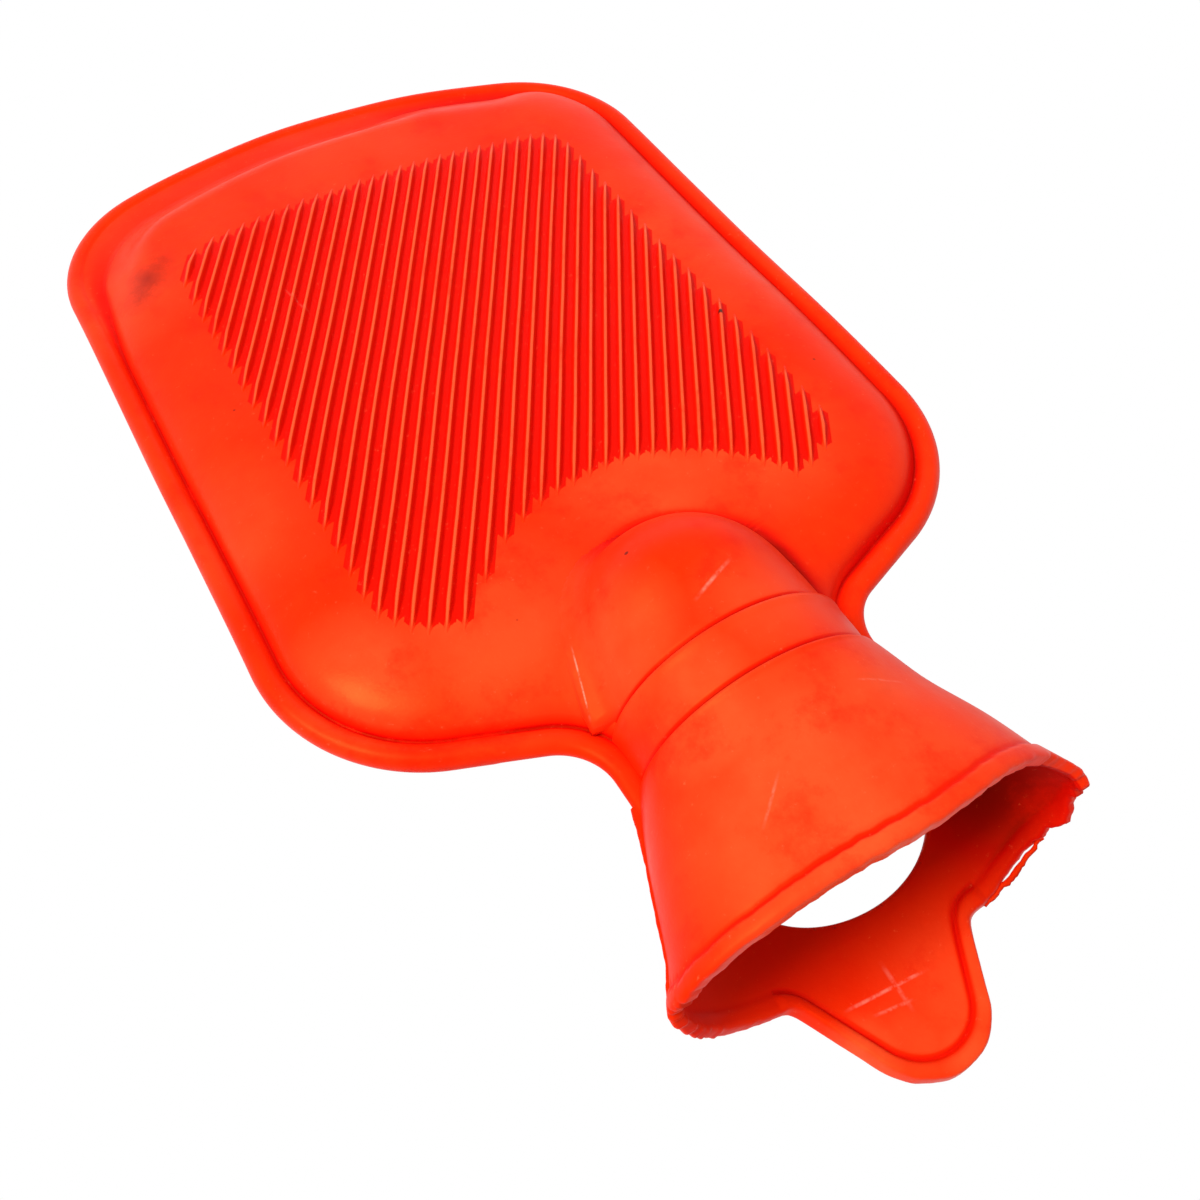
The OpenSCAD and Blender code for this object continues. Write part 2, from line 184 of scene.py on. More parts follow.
class Nodes:
    """Short hand for building a node tree."""

    def __init__(self, name):
        self.material = bpy.data.materials.new(name)
        self.material.use_nodes = True
        self.tree = self.material.node_tree
        self.bsdf = self.tree.nodes["Principled BSDF"]

    def add(self, kind, inputs=None, **settings):
        node = self.tree.nodes.new(kind)
        for key, value in settings.items():
            setattr(node, key, value)
        for key, value in (inputs or {}).items():
            self.put(node.inputs[key], value)
        return node

    def put(self, socket, value):
        if isinstance(value, bpy.types.NodeSocket):
            self.tree.links.new(value, socket)
        else:
            socket.default_value = value

    def math(self, op, a, b=0.0, c=0.0, clamp=False):
        return self.add("ShaderNodeMath", {0: a, 1: b, 2: c}, operation=op, use_clamp=clamp).outputs[0]

    def vmath(self, op, a, b=(0, 0, 0)):
        node = self.add("ShaderNodeVectorMath", {0: a, 1: b}, operation=op)
        return node.outputs["Value"] if op in ("DOT_PRODUCT", "LENGTH", "DISTANCE") else node.outputs[0]

    def mix(self, factor, a, b, blend="MIX"):
        node = self.add("ShaderNodeMix", data_type="RGBA", blend_type=blend)
        for socket, value in ((node.inputs[0], factor), (node.inputs[6], a), (node.inputs[7], b)):
            self.put(socket, value)
        return node.outputs[2]

    def ramp(self, value, low, high, to_low=0.0, to_high=1.0):
        inputs = {0: value, 1: low, 2: high, 3: to_low, 4: to_high}
        return self.add("ShaderNodeMapRange", inputs, clamp=True).outputs[0]

    def noise(self, vector, scale, detail=3.0, roughness=0.5):
        inputs = {"Vector": vector, "Scale": scale, "Detail": detail, "Roughness": roughness}
        return self.add("ShaderNodeTexNoise", inputs).outputs[0]

    def bump(self, strength, distance, height):
        inputs = {"Strength": strength, "Distance": distance, "Height": height}
        self.put(self.bsdf.inputs["Normal"], self.add("ShaderNodeBump", inputs).outputs[0])

    def spot(self, away, low, high, strength):
        """Strength within a distance of low, fading to 0 at high."""
        return self.math("MULTIPLY", self.ramp(away, low, high, 1.0, 0.0), strength)


def seam_point(x, y, z):
    return tuple(float(v) for v in lay([[x, y, z]])[0])


# Places on the rubber in millimetres, with a radius and a strength each.
# A pale dusty bloom, thicker on the funnel, the neck's left side and the bare panel
BLOOM = [
    ((-8, -104, 22), 34, 0.80), ((14, -98, 22), 26, 0.65), ((-16, -84, 20), 18, 0.70),
    ((-20, -58, 14), 18, 0.70), ((-12, -74, 20), 12, 0.75), ((6, -68, 22), 16, 0.45),
    ((-34, -38, 8), 30, 0.45), ((8, -22, 8), 26, 0.55), ((34, -22, 8), 26, 0.50),
    ((-60, -36, 4), 18, 0.65), ((-66, 10, 3), 22, 0.30), ((58, 40, 6), 40, 0.35),
    ((10, -132, -20), 20, 0.55), ((-5, -136, -20), 12, 0.45), ((-13, -134, -20), 9, 0.95),
    ((2, -143, -20), 9, 0.85), ((0, 108, 8), 34, 0.25), ((-66, 90, 4), 20, 0.35),
]
# Soft dark smudges
SMUDGES = [
    ((-59.5, 92.5, 6.5), 8.0, 0.85), ((-63.0, 87.0, 5.0), 6.0, 0.60), ((-54.0, 97.0, 7.0), 5.0, 0.40),
    ((7.0, -83.5, 24.0), 2.6, 0.40), ((12.0, -91.0, 24.0), 6.5, 0.22), ((2.0, -96.0, 23.0), 6.0, 0.16),
    ((42.0, 18.0, 7.5), 7.0, 0.10),
]
# Small black specks
SPECKS = [
    ((50.6, 12.4, 8.8), 0.8, 0.95), ((-8.6, -44.2, 18.6), 0.5, 0.8), ((4.0, -42.5, 17.5), 0.35, 0.7),
    ((-57.0, 40.0, 7.0), 0.4, 0.6), ((61.0, -10.0, 7.0), 0.35, 0.5), ((-30.0, -40.0, 7.2), 0.3, 0.5),
]
# Scratches: thin pale lines from one point to another, seen from above, with a width and a strength
SCRATCHES = [
    ((6.4, -56.3, 21.9), (-4.7, -61.1, 22.3), 0.35, 0.55),
    ((-24.0, -50.1, 7.0), (-28.1, -64.6, 3.0), 0.16, 0.75),
    ((-11.0, -96.0, 20.0), (-19.0, -103.0, 18.0), 0.25, 0.30),
    ((9.0, -88.0, 20.0), (20.0, -92.0, 18.0), 0.25, 0.25),
    ((-33.0, 72.0, 8.0), (-31.0, 60.0, 8.0), 0.25, 0.30),
    ((-12.6, -125.8, -19.1), (5.7, -127.2, -19.1), 0.30, 0.55),
    ((-8.9, -128.9, -19.1), (0.7, -130.3, -19.1), 0.30, 0.50),
    ((-1.4, -121.6, -19.1), (-1.8, -132.0, -19.1), 0.40, 0.35),
]


def scratch_mask(n, at):
    """Strength of the scratches at a point, broken up by a fine noise."""
    scratch = 0.0
    for a, b, width, strength in SCRATCHES:
        pa, pb = Vector(seam_point(*a)), Vector(seam_point(*b))
        pa.z = pb.z = 0.0
        length = (pb - pa).length
        along = (pb - pa).normalized()
        rel = n.vmath("SUBTRACT", n.vmath("MULTIPLY", at, (1, 1, 0)), tuple(pa))
        t = n.vmath("DOT_PRODUCT", rel, tuple(along))
        foot = n.add("ShaderNodeVectorMath", {0: tuple(along)}, operation="SCALE")
        n.put(foot.inputs["Scale"], t)
        off = n.vmath("DISTANCE", rel, foot.outputs[0])
        stroke = n.ramp(off, width * 0.0004, width * 0.0014, 1.0, 0.0)
        ends = (n.ramp(t, 0.0, 0.004), n.ramp(t, length - 0.004, length, 1.0, 0.0))
        inside = n.math("MULTIPLY", *ends)
        broken = n.ramp(n.noise(at, 420.0, 3.0, 0.7), 0.36, 0.62)
        mark = n.math("MULTIPLY", n.math("MULTIPLY", stroke, inside), n.math("MULTIPLY", broken, strength))
        scratch = n.math("MAXIMUM", scratch, mark)
    return scratch


def rubber_material():
    n = Nodes("rubber_orange")
    at = n.add("ShaderNodeTexCoord").outputs["Object"]
    deep = n.add("ShaderNodeAttribute", attribute_name="deep").outputs["Fac"]
    blotch = n.noise(at, 22.0, 4.0, 0.55)
    fine = n.noise(at, 260.0, 3.0, 0.6)
    base = n.mix(n.ramp(blotch, 0.35, 0.65), (0.94, 0.018, 0.0008, 1), (0.95, 0.030, 0.0016, 1))
    base = n.mix(n.ramp(fine, 0.30, 0.75, 0.0, 0.35), base, (0.92, 0.012, 0.0006, 1))
    # Painted shade: darker red in grooves and creases, and darkest red far inside the funnel
    base = n.mix(n.ramp(deep, 0.0, 1.0), base, (0.74, 0.0008, 0.0003, 1))
    base = n.mix(n.ramp(deep, 1.0, 2.0), base, (0.24, 0.0002, 0.0001, 1))
    # Painted highlight on the crests of the ribs, paler
    base = n.mix(n.ramp(deep, -0.1, -0.6), base, (1.0, 0.088, 0.026, 1))
    bloom = 0.0
    for place, size, strength in BLOOM:
        away = n.vmath("DISTANCE", at, seam_point(*place))
        bloom = n.math("MAXIMUM", bloom, n.spot(away, size * 0.0003, size * 0.001, strength))
    cloud = n.ramp(n.noise(at, 38.0, 6.0, 0.62), 0.32, 0.66, 0.35, 1.0)
    open_face = n.ramp(deep, 0.0, 0.4, 1.0, 0.0)
    film = n.math("MULTIPLY", n.math("MULTIPLY", bloom, cloud), open_face)
    base = n.mix(film, base, (0.97, 0.105, 0.026, 1))
    rubbed_dark = n.ramp(n.noise(at, 62.0, 7.0, 0.72), 0.52, 0.68, 0.0, 0.6)
    base = n.mix(rubbed_dark, base, (0.86, 0.006, 0.0006, 1))
    dust = n.ramp(n.noise(at, 700.0, 5.0, 0.8), 0.62, 0.72, 0.0, 0.45)
    base = n.mix(dust, base, (1.0, 0.15, 0.06, 1))
    for place, size, strength in SMUDGES:
        away = n.vmath("DISTANCE", at, seam_point(*place))
        edge = n.math("MULTIPLY_ADD", n.noise(at, 420.0, 5.0, 0.75), size * 0.0014, size * 0.0003)
        base = n.mix(n.spot(away, 0.0, edge, strength), base, (0.26, 0.006, 0.003, 1))
    for place, size, strength in SPECKS:
        away = n.vmath("DISTANCE", at, seam_point(*place))
        spot = n.spot(away, size * 0.0006, size * 0.0013, strength)
        base = n.mix(spot, base, (0.02, 0.004, 0.004, 1))
    base = n.mix(scratch_mask(n, at), base, (1.0, 0.32, 0.22, 1))
    n.put(n.bsdf.inputs["Base Color"], base)
    worn = n.noise(at, 60.0, 5.0, 0.6)
    rough_value = n.ramp(worn, 0.3, 0.7, 0.36, 0.50)
    # The low left shoulder is rubbed shiny
    shoulder = n.vmath("DISTANCE", at, seam_point(-62.5, -36.0, 4.8))
    rubbed = n.ramp(shoulder, 0.006, 0.022, -0.14, 0.0)
    rough_value = n.math("ADD", rough_value, rubbed)
    n.put(n.bsdf.inputs["Roughness"], n.math("ADD", rough_value, n.math("MULTIPLY", deep, 0.12)))
    n.bsdf.inputs["Specular IOR Level"].default_value = 0.20
    n.bsdf.inputs["Specular Tint"].default_value = (1.0, 0.40, 0.06, 1)
    # Moulded skin: a fine grain over slow dents
    dents = n.math("MULTIPLY", n.noise(at, 210.0, 4.0, 0.6), 0.75)
    n.bump(0.16, 0.0006, n.math("MULTIPLY_ADD", n.noise(at, 1500.0, 2.0, 0.5), 0.25, dents))
    return n.material


def brass_material():
    n = Nodes("bush_brass")
    at = n.add("ShaderNodeTexCoord").outputs["Object"]
    stain = n.noise(at, 90.0, 5.0, 0.6)
    colour = n.mix(n.ramp(stain, 0.35, 0.7), (0.78, 0.55, 0.24, 1), (0.50, 0.33, 0.14, 1))
    n.put(n.bsdf.inputs["Base Color"], colour)
    n.put(n.bsdf.inputs["Metallic"], 1.0)
    n.put(n.bsdf.inputs["Roughness"], n.ramp(stain, 0.3, 0.7, 0.25, 0.45))
    # Marks of the lathe
    turned = n.add("ShaderNodeTexWave", {"Vector": at, "Scale": 260.0, "Distortion": 0.4},
                   wave_type="BANDS", bands_direction="Y").outputs[1]
    n.bump(0.08, 0.0002, turned)
    return n.material


def seal_material():
    n = Nodes("washer_rubber")
    at = n.add("ShaderNodeTexCoord").outputs["Object"]
    dust = n.noise(at, 300.0, 4.0, 0.7)
    colour = n.mix(n.ramp(dust, 0.45, 0.8), (0.025, 0.025, 0.025, 1), (0.09, 0.085, 0.08, 1))
    n.put(n.bsdf.inputs["Base Color"], colour)
    n.put(n.bsdf.inputs["Roughness"], n.ramp(dust, 0.3, 0.7, 0.55, 0.8))
    n.bump(0.2, 0.0002, dust)
    return n.material


def stopper_material():
    n = Nodes("stopper_plastic")
    at = n.add("ShaderNodeTexCoord").outputs["Object"]
    tone = n.noise(at, 70.0, 4.0, 0.6)
    colour = n.mix(n.ramp(tone, 0.3, 0.7), (0.86, 0.79, 0.62, 1), (0.74, 0.65, 0.47, 1))
    n.put(n.bsdf.inputs["Base Color"], colour)
    n.put(n.bsdf.inputs["Roughness"], n.ramp(tone, 0.3, 0.7, 0.38, 0.55))
    n.bump(0.12, 0.0003, n.noise(at, 900.0, 2.0))
    return n.material


RUBBER, BRASS, SEAL, STOPPER = rubber_material(), brass_material(), seal_material(), stopper_material()
for node, material in (("neck_bush", BRASS), ("washer", SEAL), ("stopper", STOPPER)):
    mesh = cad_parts[node].data
    mesh.materials.clear()
    mesh.materials.append(material)

# Outline of the rim -----------------------------------------------------------------------------
far_c = np.array([0, FAR_Y - END_R])
corner_x = BODY_W / 2 - CORNER_R
corner_c = np.array([corner_x, far_c[1] + math.sqrt((END_R - CORNER_R) ** 2 - corner_x ** 2)])
corner_a = math.degrees(math.atan2(corner_c[1] - far_c[1], corner_x))
shoulder_c = np.array([BODY_W / 2 - SHOULDER_R, STEP1_Y + 45.5])
slope_a = SLOPE - 90
slope_n = np.array([math.cos(math.radians(slope_a)), math.sin(math.radians(slope_a))])
slope_d = np.array([slope_n[1], -slope_n[0]])
slope_start = shoulder_c + SHOULDER_R * slope_n
slope_len = (NECK_RIM_X + FILLET_R - slope_start[0] - FILLET_R * slope_n[0]) / slope_d[0]
fillet_c = slope_start + slope_len * slope_d + FILLET_R * slope_n
RIM_END_Y = fillet_c[1] - 12.0


def unit(deg):
    a = np.radians(deg)
    return np.stack([np.cos(a), np.sin(a)], axis=-1)


def line(a, b, step):
    n = max(2, int(np.linalg.norm(np.array(b) - a) / step))
    t = np.linspace(0, 1, n, endpoint=False)[:, None]
    return np.array(a) * (1 - t) + np.array(b) * t


def outline():
    """Points of the rim's right half from the neck round to the far end, and the outward normal at each."""
    runs = []

    def arc(c, r, a0, a1, step, inward=False):
        n = max(3, int(abs(math.radians(a1 - a0)) * r / step))
        d = unit(np.linspace(a0, a1, n, endpoint=False))
        runs.append((c + r * d, -d if inward else d))

    start = fillet_c + FILLET_R * unit(180.0)
    p = line([NECK_RIM_X, RIM_END_Y], start, 0.8)
    runs.append((p, np.tile([1.0, 0.0], (len(p), 1))))
    arc(fillet_c, FILLET_R, 180, 180 + slope_a, 0.8, True)
    p = line(slope_start + slope_len * slope_d, slope_start, 1.2)
    runs.append((p, np.tile(slope_n, (len(p), 1))))
    arc(shoulder_c, SHOULDER_R, slope_a, 0, 1.1)
    p = line([BODY_W / 2, shoulder_c[1]], [BODY_W / 2, corner_c[1]], 1.6)
    runs.append((p, np.tile([1.0, 0.0], (len(p), 1))))
    arc(corner_c, CORNER_R, 0, corner_a, 1.1)
    arc(far_c, END_R, corner_a, 90, 1.6)
    p = np.concatenate([r[0] for r in runs] + [far_c[None] + END_R * unit(90.0)])
    nrm = np.concatenate([r[1] for r in runs] + [unit(90.0)[None]])
    flip = np.array([-1.0, 1.0])
    return np.concatenate([p, p[-2::-1] * flip]), np.concatenate([nrm, nrm[-2::-1] * flip])


RIM_P, RIM_N = outline()

# Section from the rim's outer edge inward: (distance in, height, painted shade in the groove beside the bead
# and at the flank's foot)
bead = [(RIM_R - RIM_R * math.cos(a), RIM_R * math.sin(a), 0.0)
        for a in np.radians(np.linspace(0, 143, 16))]
groove = [(4.72, 1.28, 0.1), (4.95, 0.92, 0.5), (5.2, 0.62, 1.3),
          (5.5, 0.58, 1.6), (5.75, 0.85, 1.3), (5.88, 1.35, 0.7)]
flank = [(FLANK_S + FLANK_W * (1 - math.cos(a)), PANEL_H * math.sin(a),
          0.4 * max(0.0, 1 - (math.degrees(a) - 13) / 8))
         for a in np.radians(np.concatenate([np.linspace(13, 30, 5), np.linspace(34, 90, 15)]))]
section = np.array(bead + groove + flank)
FLANGE_W, LEDGE_Z = 6.6, 1.7


def flange():
    """Extra width of the flat seam inside the bead, widest at the far end."""
    x, y = RIM_P[:, 0], RIM_P[:, 1]
    right = 1 - 0.55 * smooth(8, 34, x) - 0.45 * smooth(50, 72, x)
    return FLANGE_W * smooth(70, 134, y) * right


FLANGE = flange()
# The bead thins out where it runs up beside the neck
THIN = 1 - 0.5 * smooth(STEP1_Y + 20, RIM_END_Y, RIM_P[:, 1]) * (np.abs(RIM_P[:, 0]) < 45)


def dome_crease_shade(p):
    """Painted shade in the crease round the far side of the neck's dome, on the body's upper side."""
    x, y, z = p[..., 0], p[..., 1], p[..., 2]
    reach = np.sqrt(np.clip(DOME_R ** 2 - z ** 2, 0, None))
    away = np.clip(np.hypot(x / 1.06, np.maximum(y - DOME_Y, 0)) - reach, 0, None)
    return 1.7 * np.exp(-(away / 2.0) ** 2) * smooth(-12, 2, x) * (y > STEP1_Y - 2)


def body_sheets():
    """The flat body: bead, groove, flank and panel, for the upper and the lower side."""
    s = Sheets()
    for side in (1, -1):
        rows, deep = [], []
        for d, z, shade in section:
            moved = FLANGE * smooth(4.6, 5.88, d) * (1 - smooth(6.2, FLAT_S, d))
            ledge = FLANGE / FLANGE_W * (4.2 < d < 5.8)
            soft = smooth(0, 1, 1.4 * FLANGE / FLANGE_W) * (d > 5.8)
            swell = LEDGE_Z + (PANEL_H - LEDGE_Z) * smooth(FLANK_S - 2.5, FLAT_S, d)
            high = z * (1 - ledge - soft) + LEDGE_Z * ledge + swell * soft
            thin = np.where(d < 2 * RIM_R, THIN, 1.0)
            p = RIM_P - RIM_N * (d + moved)[:, None]
            rows.append(np.column_stack([p, side * high * thin]))
            # Painted shadow at the foot of the flank on the right side, where it faces away from the key
            # light
            shadow = 1.15 * math.exp(-((d - 5.9) / 1.5) ** 2) * smooth(20, 45, RIM_P[:, 0])
            dark = np.maximum(shade * (1 - 0.8 * FLANGE / FLANGE_W), shadow)
            deep.append(dark * (1.0 if side > 0 else 0.5))
        deep = np.array(deep)
        if side > 0:
            deep = np.maximum(deep, dome_crease_shade(np.array(rows)))
        s.grid(np.array(rows), deep, flip=side < 0)
        # The flat panel: rungs between the two halves of the innermost ring
        ring = np.array(rows[-1])
        half = (len(ring) + 1) // 2
        right, left = ring[:half], ring[::-1][:half]
        t = np.linspace(0, 1, 61)[None, :, None]
        panel = right[:, None] * (1 - t) + left[:, None] * t
        s.grid(panel, dome_crease_shade(panel) * (side > 0), flip=side > 0)
    return s


# Ribs ---------------------------------------------------------------------------------------------
PITCH, RIB_A, RIB_H, RIB_RUN, RIB_SHIFT, RIB_SHORTEST = 3.31, 30.2, 1.4, 7.0, 1.0, 6.5
RIB_SIDE, RIB_END, RIB_NECK_R = 24.5, 41.0, 42.5
rib_top_r = 1.6 * END_R
rib_x = BODY_W / 2 - RIB_SIDE
rib_top_c = np.array([0, FAR_Y - RIB_END - rib_top_r])


def rib_side(corner_r):
    """Right edge of the rib field up to its top corner, and the corner's end angle."""
    c = np.array([rib_x - corner_r, 0.0])
    c[1] = rib_top_c[1] + math.sqrt((rib_top_r - corner_r) ** 2 - c[0] ** 2)
    end = math.degrees(math.atan2(c[1] - rib_top_c[1], c[0]))
    return np.concatenate([
        [slope_start + slope_len * slope_d - RIB_SIDE * slope_n],
        shoulder_c + (SHOULDER_R - RIB_SIDE) * unit(np.linspace(slope_a, 0, 9)),
        c + corner_r * unit(np.linspace(0, end, 7)),
    ]), end


rib_right, right_a = rib_side(8.0)
rib_left, left_a = rib_side(17.0)
rib_field = np.concatenate([rib_right, rib_top_c + rib_top_r * unit(np.linspace(right_a, 180 - left_a, 9)),
                            rib_left[::-1] * [-1, 1]])
rib_neck_c = np.array([0, DOME_Y - 4])
rib_d = np.array([math.sin(math.radians(RIB_A)), math.cos(math.radians(RIB_A))])
rib_n = np.array([rib_d[1], -rib_d[0]])


def rib_span(o):
    """Where the rib through point o enters and leaves the rib field, as distances along it."""
    low, high = -1e9, 1e9
    for i, a in enumerate(rib_field):
        e = rib_field[(i + 1) % len(rib_field)] - a
        away = e[0] * (o - a)[1] - e[1] * (o - a)[0]
        rate = e[0] * rib_d[1] - e[1] * rib_d[0]
        if abs(rate) > 1e-9:
            t = -away / rate
            if rate > 0:
                low = max(low, t)
            else:
                high = min(high, t)
    m = (rib_neck_c - o) @ rib_d
    miss = np.linalg.norm(o + m * rib_d - rib_neck_c)
    if miss < RIB_NECK_R:
        low = max(low, m + math.sqrt(RIB_NECK_R ** 2 - miss ** 2))
    return low, high


# Across half a rib: (offset, height, painted shading: below 0 a painted highlight on the crest, up to 1
# painted shade in the valley)
HALF_PITCH = 1.655
rib_profile = [(0.0, 1.0, -0.7), (0.14, 0.995, -0.7), (0.26, 0.955, -0.5), (0.36, 0.86, 0.05),
               (0.46, 0.70, 0.40), (0.60, 0.47, 0.7), (0.76, 0.25, 0.9), (0.94, 0.09, 0.95),
               (1.12, 0.02, 1.0), (1.38, 0.0, 1.0), (HALF_PITCH, 0.0, 1.0)]


def rib_sheets():
    s = Sheets()
    prof = [(-q, h, d) for q, h, d in rib_profile[:0:-1]] + rib_profile
    q, h, dp = (np.array(v) for v in zip(*prof))
    for i in range(-64, 65):
        o = (i * PITCH + RIB_SHIFT) * rib_n
        low, high = rib_span(o)
        if high - low < RIB_SHORTEST:
            continue
        run = min(RIB_RUN, 0.46 * (high - low))
        jog = rough(np.array([i * 1.0, i * 1.0 + 300]), 3, 1.7)
        low, high = low + 0.08 * run * jog[0], high + 0.08 * run * jog[1]
        ends = run * np.array([0, 0.04, 0.1, 0.18, 0.3, 0.45, 0.62, 0.8, 1.0])
        mid = np.linspace(low + run, high - run, max(3, int((high - low) / 3.2)))
        t = np.concatenate([low + ends[:-1], mid, high - ends[-2::-1]])
        e = np.clip(np.minimum(t - low, high - t) / run, 0, 1)
        tall = e ** 0.85
        thin = 0.12 + 0.88 * np.sqrt(e)
        fade = smooth(0.0, 0.55, e)
        wob = 0.05 * rough(t + 37 * i, 11, 9.0)
        # The crest narrows toward the ends, the valley's floor stays put, and its edge meets the next rib
        off = np.where(np.abs(q)[None] > 1.3, q[None], q[None] * thin[:, None]) + wob[:, None]
        off = np.where(np.abs(q)[None] > 1.6, q[None], off)
        z = PANEL_H - 0.03 + 0.04 * fade[:, None] + RIB_H * (h[None] * tall[:, None])
        xy = o + t[:, None, None] * rib_d + off[..., None] * rib_n
        spike = smooth(-0.12, 0.12, np.abs(q)[None] / HALF_PITCH - 1 + 1.5 * e[:, None])
        # Painted highlight on the crest fades toward the ends; painted shade in the valley follows the
        # pointed ends
        deep = np.where(dp[None] < 0, dp[None] * fade[:, None], dp[None] * spike)
        s.grid(np.concatenate([xy, z[..., None]], axis=-1), deep)
    return s


# Neck, funnel and tab -----------------------------------------------------------------------------
SWELL, SQUARE = 1.06, 2.5
TAB_X, TAB_W, TAB_TIP_R, TAB_MORE = -0.6, 42.5, 13.9, 0.4
BORDER_H, HOLE_W, HOLE_L, HOLE_LIP, HOLE_ROUND = 0.9, 41.0, 29.0, 8.0, 0.8
HOLE_X, HOLE_Y = 4.2, BACK_Y + HOLE_LIP + HOLE_L / 2 + 0.5
BUSH_HOLE_R, BORDER_X = 16.05, 21.5
COLS, DOME_ROWS, COLLAR_ROWS = 380, 58, 9


def semi(u, grow):
    """Half width, half height and squareness of the oval at u, 0 at the second step and 1 at the mouth."""
    c = np.clip(u, 0, 1)
    return (FUNNEL_R + (MOUTH_W / 2 - FUNNEL_R) * (1 - (1 - c) ** SWELL) + grow,
            FUNNEL_R + (MOUTH_H / 2 - FUNNEL_R) * c + grow, 2 + (SQUARE - 2) * c)


def even_angles():
    """Angles round the mouth's oval, evenly spaced along it, from +X up over the front."""
    a = np.linspace(0, 2 * np.pi, 7201)
    ox, oz, m = semi(np.array(1.0), 0)
    x = ox * np.sign(np.cos(a)) * np.abs(np.cos(a)) ** (2 / m)
    z = oz * np.sign(np.sin(a)) * np.abs(np.sin(a)) ** (2 / m)
    run = np.concatenate([[0], np.cumsum(np.hypot(np.diff(x), np.diff(z)))])
    return np.interp(np.linspace(0, run[-1], COLS, endpoint=False), run, a), run[-1]


ANG, MOUTH_GIRTH = even_angles()
BACK_SQUARE = smooth(0.15, -0.25, np.sin(ANG))
FRONT_LIP = smooth(0.1, 0.5, np.sin(ANG))


def oval(u, grow):
    """Points round the funnel's section at u, each column at its own angle."""
    ox, oz, m = semi(u, grow)
    m = 2 + (m - 2) * BACK_SQUARE
    c, s = np.cos(ANG), np.sin(ANG)
    return ox * np.sign(c) * np.abs(c) ** (2 / m), oz * np.sign(s) * np.abs(s) ** (2 / m)


def back_edge():
    """The back lip and the tab seen from above, from -X to +X, as one polyline."""
    tab_c = np.array([0, TIP_Y - TAB_MORE + TAB_TIP_R])
    root = np.array([TAB_W / 2, MOUTH_Y - LIP_DROP / 2])
    rel = root - tab_c
    side = math.degrees(math.atan2(rel[1], rel[0])) - math.degrees(math.acos(TAB_TIP_R / np.linalg.norm(rel)))
    half = MOUTH_W / 2 + WALL
    x = np.linspace(-half, half, 1201)
    y = MOUTH_Y - LIP_DROP * np.sqrt(np.clip(1 - (x / half) ** 2, 0, 1))
    touch = tab_c + TAB_TIP_R * unit(side)
    ax = np.abs(x - TAB_X)
    tip = tab_c[1] - np.sqrt(np.clip(TAB_TIP_R ** 2 - ax ** 2, 0, None))
    flank = touch[1] + (ax - touch[0]) * (root[1] - touch[1]) / (root[0] - touch[0])
    tab = np.where(ax < touch[0], tip, flank)
    tab = np.where(ax > root[0] + 6, 1e3, tab)
    # The lip sags at the right, and is drawn in again toward the corner
    sag = 2.2 * smooth(6, 20, x) * (1 - smooth(24, 42, x))
    y = y - sag + 0.9 * smooth(22, 30, x) - 1.7 * smooth(34, 41, x)
    # Soft minimum rounds the two inner corners beside the root
    k = 1.1
    low = -np.logaddexp(-y / k, -tab / k) * k
    low = np.where(ax < touch[0] - 1, np.minimum(y, tab), low)
    return x, low


EDGE_X, EDGE_Y = back_edge()


def ragged(x_like, a):
    """How far the trimmed edge strays from its line: more at the mouth's two corners."""
    run = a * MOUTH_GIRTH / (2 * np.pi)
    corner = np.exp(-(np.abs(np.abs(x_like) - MOUTH_W / 2) / 5.0) ** 2)
    small = 0.22 * rough(run, 5, 1.9) + 0.2 * rough(run, 6, 7.0)
    return small + corner * (1.7 * rough(run, 8, 1.9) + 0.6)


def end_y():
    """Where each column of the funnel ends: the front lip, slanted, and the back lip with the tab."""
    x, z = oval(np.array(1.0), 0)
    y_back = np.interp(x, EDGE_X, EDGE_Y)
    w = smooth(0.0, -7.0, z)
    y = MOUTH_Y * (1 - w) + y_back * w
    slant = (3.2 * smooth(2, 34, x) - 0.4) * smooth(1, 7, z)
    y = y + slant - 1.4 * np.exp(-((x - 42) / 5) ** 2 - (z / 6) ** 2)
    return y - ragged(x, ANG)


END = end_y()


def edge_distance(x, y):
    """Distance from points of the back wall to the edge of the lip and tab."""
    xs, ys = EDGE_X[::4], EDGE_Y[::4]
    out = np.full(x.shape, 1e9)
    for a, b in zip(xs, ys):
        out = np.minimum(out, (x - a) ** 2 + (y - b) ** 2)
    return np.sqrt(out)


# Down a step: (distance ahead of it, height in steps, painted shade in the step's crease)
STEP = [(1.2, 0.0, 0.1), (0.85, -0.10, 0.6), (0.52, -0.24, 1.2), (0.28, -0.30, 1.6), (0.10, -0.16, 1.7),
        (0.0, 0.15, 1.4), (-0.09, 0.52, 0.6), (-0.22, 0.86, 0.15), (-0.45, 1.10, 0.0),
        (-0.80, 1.22, 0.0), (-1.2, 1.20, 0.0), (-1.8, 1.08, 0.0), (-2.4, 1.0, 0.0)]
# Along the lip's band: (distance from the edge, height, painted shade in the band's groove)
LIP = [(5.4, 0.0, 0.0), (4.6, -0.02, 0.1), (4.1, -0.14, 0.45), (3.75, -0.20, 0.75), (3.45, -0.05, 0.65),
       (3.2, 0.28, 0.2), (2.9, 0.52, 0.0), (2.5, 0.62, 0.0), (2.0, 0.66, 0.0), (1.5, 0.66, 0.0),
       (1.0, 0.62, 0.0), (0.55, 0.48, 0.0), (0.22, 0.24, 0.0), (0.05, -0.08, 0.0)]
LIP_ROUND, BAND_START = 1.1, 6.6
CX, CZ = np.cos(ANG), np.sin(ANG)


